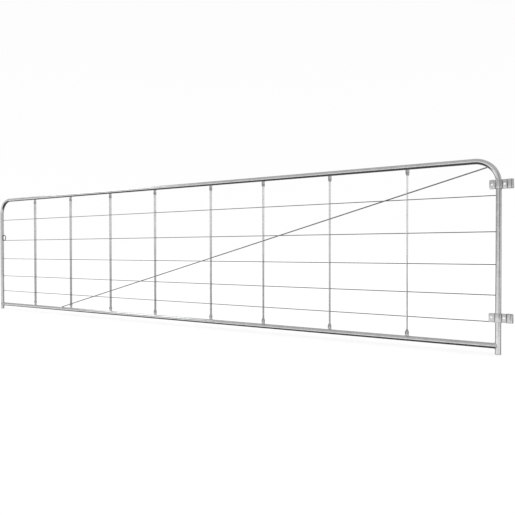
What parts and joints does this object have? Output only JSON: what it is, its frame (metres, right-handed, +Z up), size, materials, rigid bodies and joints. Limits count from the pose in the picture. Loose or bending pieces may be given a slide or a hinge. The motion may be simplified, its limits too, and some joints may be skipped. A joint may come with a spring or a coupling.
{
  "type": "livestock panel gate",
  "caption": "Long galvanised farm gate: bent pipe hoop and bottom rail, twisted flat-bar uprights, threaded wires, diagonal brace rod, chain ring and folded hinge straps.",
  "frame": {"origin": "on the line through both hinge eyes that the gate swings on, level with the bottom of the stile feet", "axes": "+Z up along the swing axis, the gate reaches along -X to its latch stile, -Y is the side the brace rod and chain ring are on"},
  "size_m": [4.9442, 0.0444, 1.17],
  "materials": {
    "pipe": "hot-dip galvanised, semi-matt with fine spangle",
    "flat_bar": "hot-dip galvanised flat bar, semi-matt",
    "wire": "heavy galvanised wire, semi-matt",
    "rod": "galvanised round rod, semi-matt",
    "strap": "hot-dip galvanised folded strap"
  },
  "bodies": {
    "gate_panel": {"frame_hoop": "pipe", "bottom_rail": "pipe", "upright_1": "flat_bar", "upright_2": "flat_bar", "upright_3": "flat_bar", "upright_4": "flat_bar", "upright_5": "flat_bar", "upright_6": "flat_bar", "upright_7": "flat_bar", "upright_8": "flat_bar", "wire_1": "wire", "wire_2": "wire", "wire_3": "wire", "wire_4": "wire", "wire_5": "wire", "diagonal_brace": "rod", "chain_ring": "rod"},
    "top_strap": {"top_hinge_strap": "strap"},
    "bottom_strap": {"bottom_hinge_strap": "strap"}
  },
  "joints": [
    {"name": "top_strap_swivel", "type": "hinge", "parent": "gate_panel", "child": "top_strap", "pos_m": [-0.0612, 0, 1.0085], "axis": [0, 0, 1], "range_deg": [-90, 90]},
    {"name": "bottom_strap_height", "type": "slide", "parent": "gate_panel", "child": "bottom_strap", "axis": [0, 0, 1], "range_m": [-0.05, 0.1]}
  ]
}
